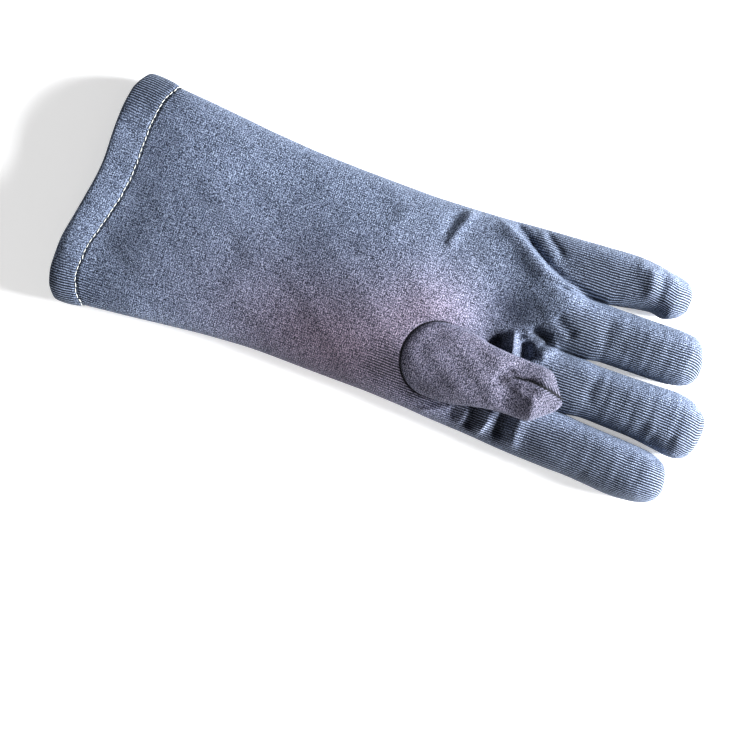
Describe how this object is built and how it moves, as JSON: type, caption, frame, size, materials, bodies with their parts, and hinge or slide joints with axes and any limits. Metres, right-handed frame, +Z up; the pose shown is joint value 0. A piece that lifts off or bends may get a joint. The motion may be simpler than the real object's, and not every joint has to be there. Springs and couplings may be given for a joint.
{
  "type": "lead lined glove",
  "caption": "Long gauntlet glove with a lead liner and a knit cover, lying palm up with its thumb folded over the palm.",
  "frame": {"origin": "middle of the glove's bounding box at the surface it lies on", "axes": "+Z up out of the palm, +Y from the cuff to the fingertips, +X to the thumb's side"},
  "size_m": [0.1424, 0.3864, 0.0488],
  "materials": {
    "knit": "fine ribbed warp knit, slate blue, matt with a slight sheen",
    "hem": "the same ribbed knit, turned under and stitched",
    "thread": "off-white sewing thread"
  },
  "bodies": {
    "root": {"palm_panel": "knit", "back_panel": "knit", "thumb": "knit", "cuff_hem": "hem"}
  },
  "joints": []
}
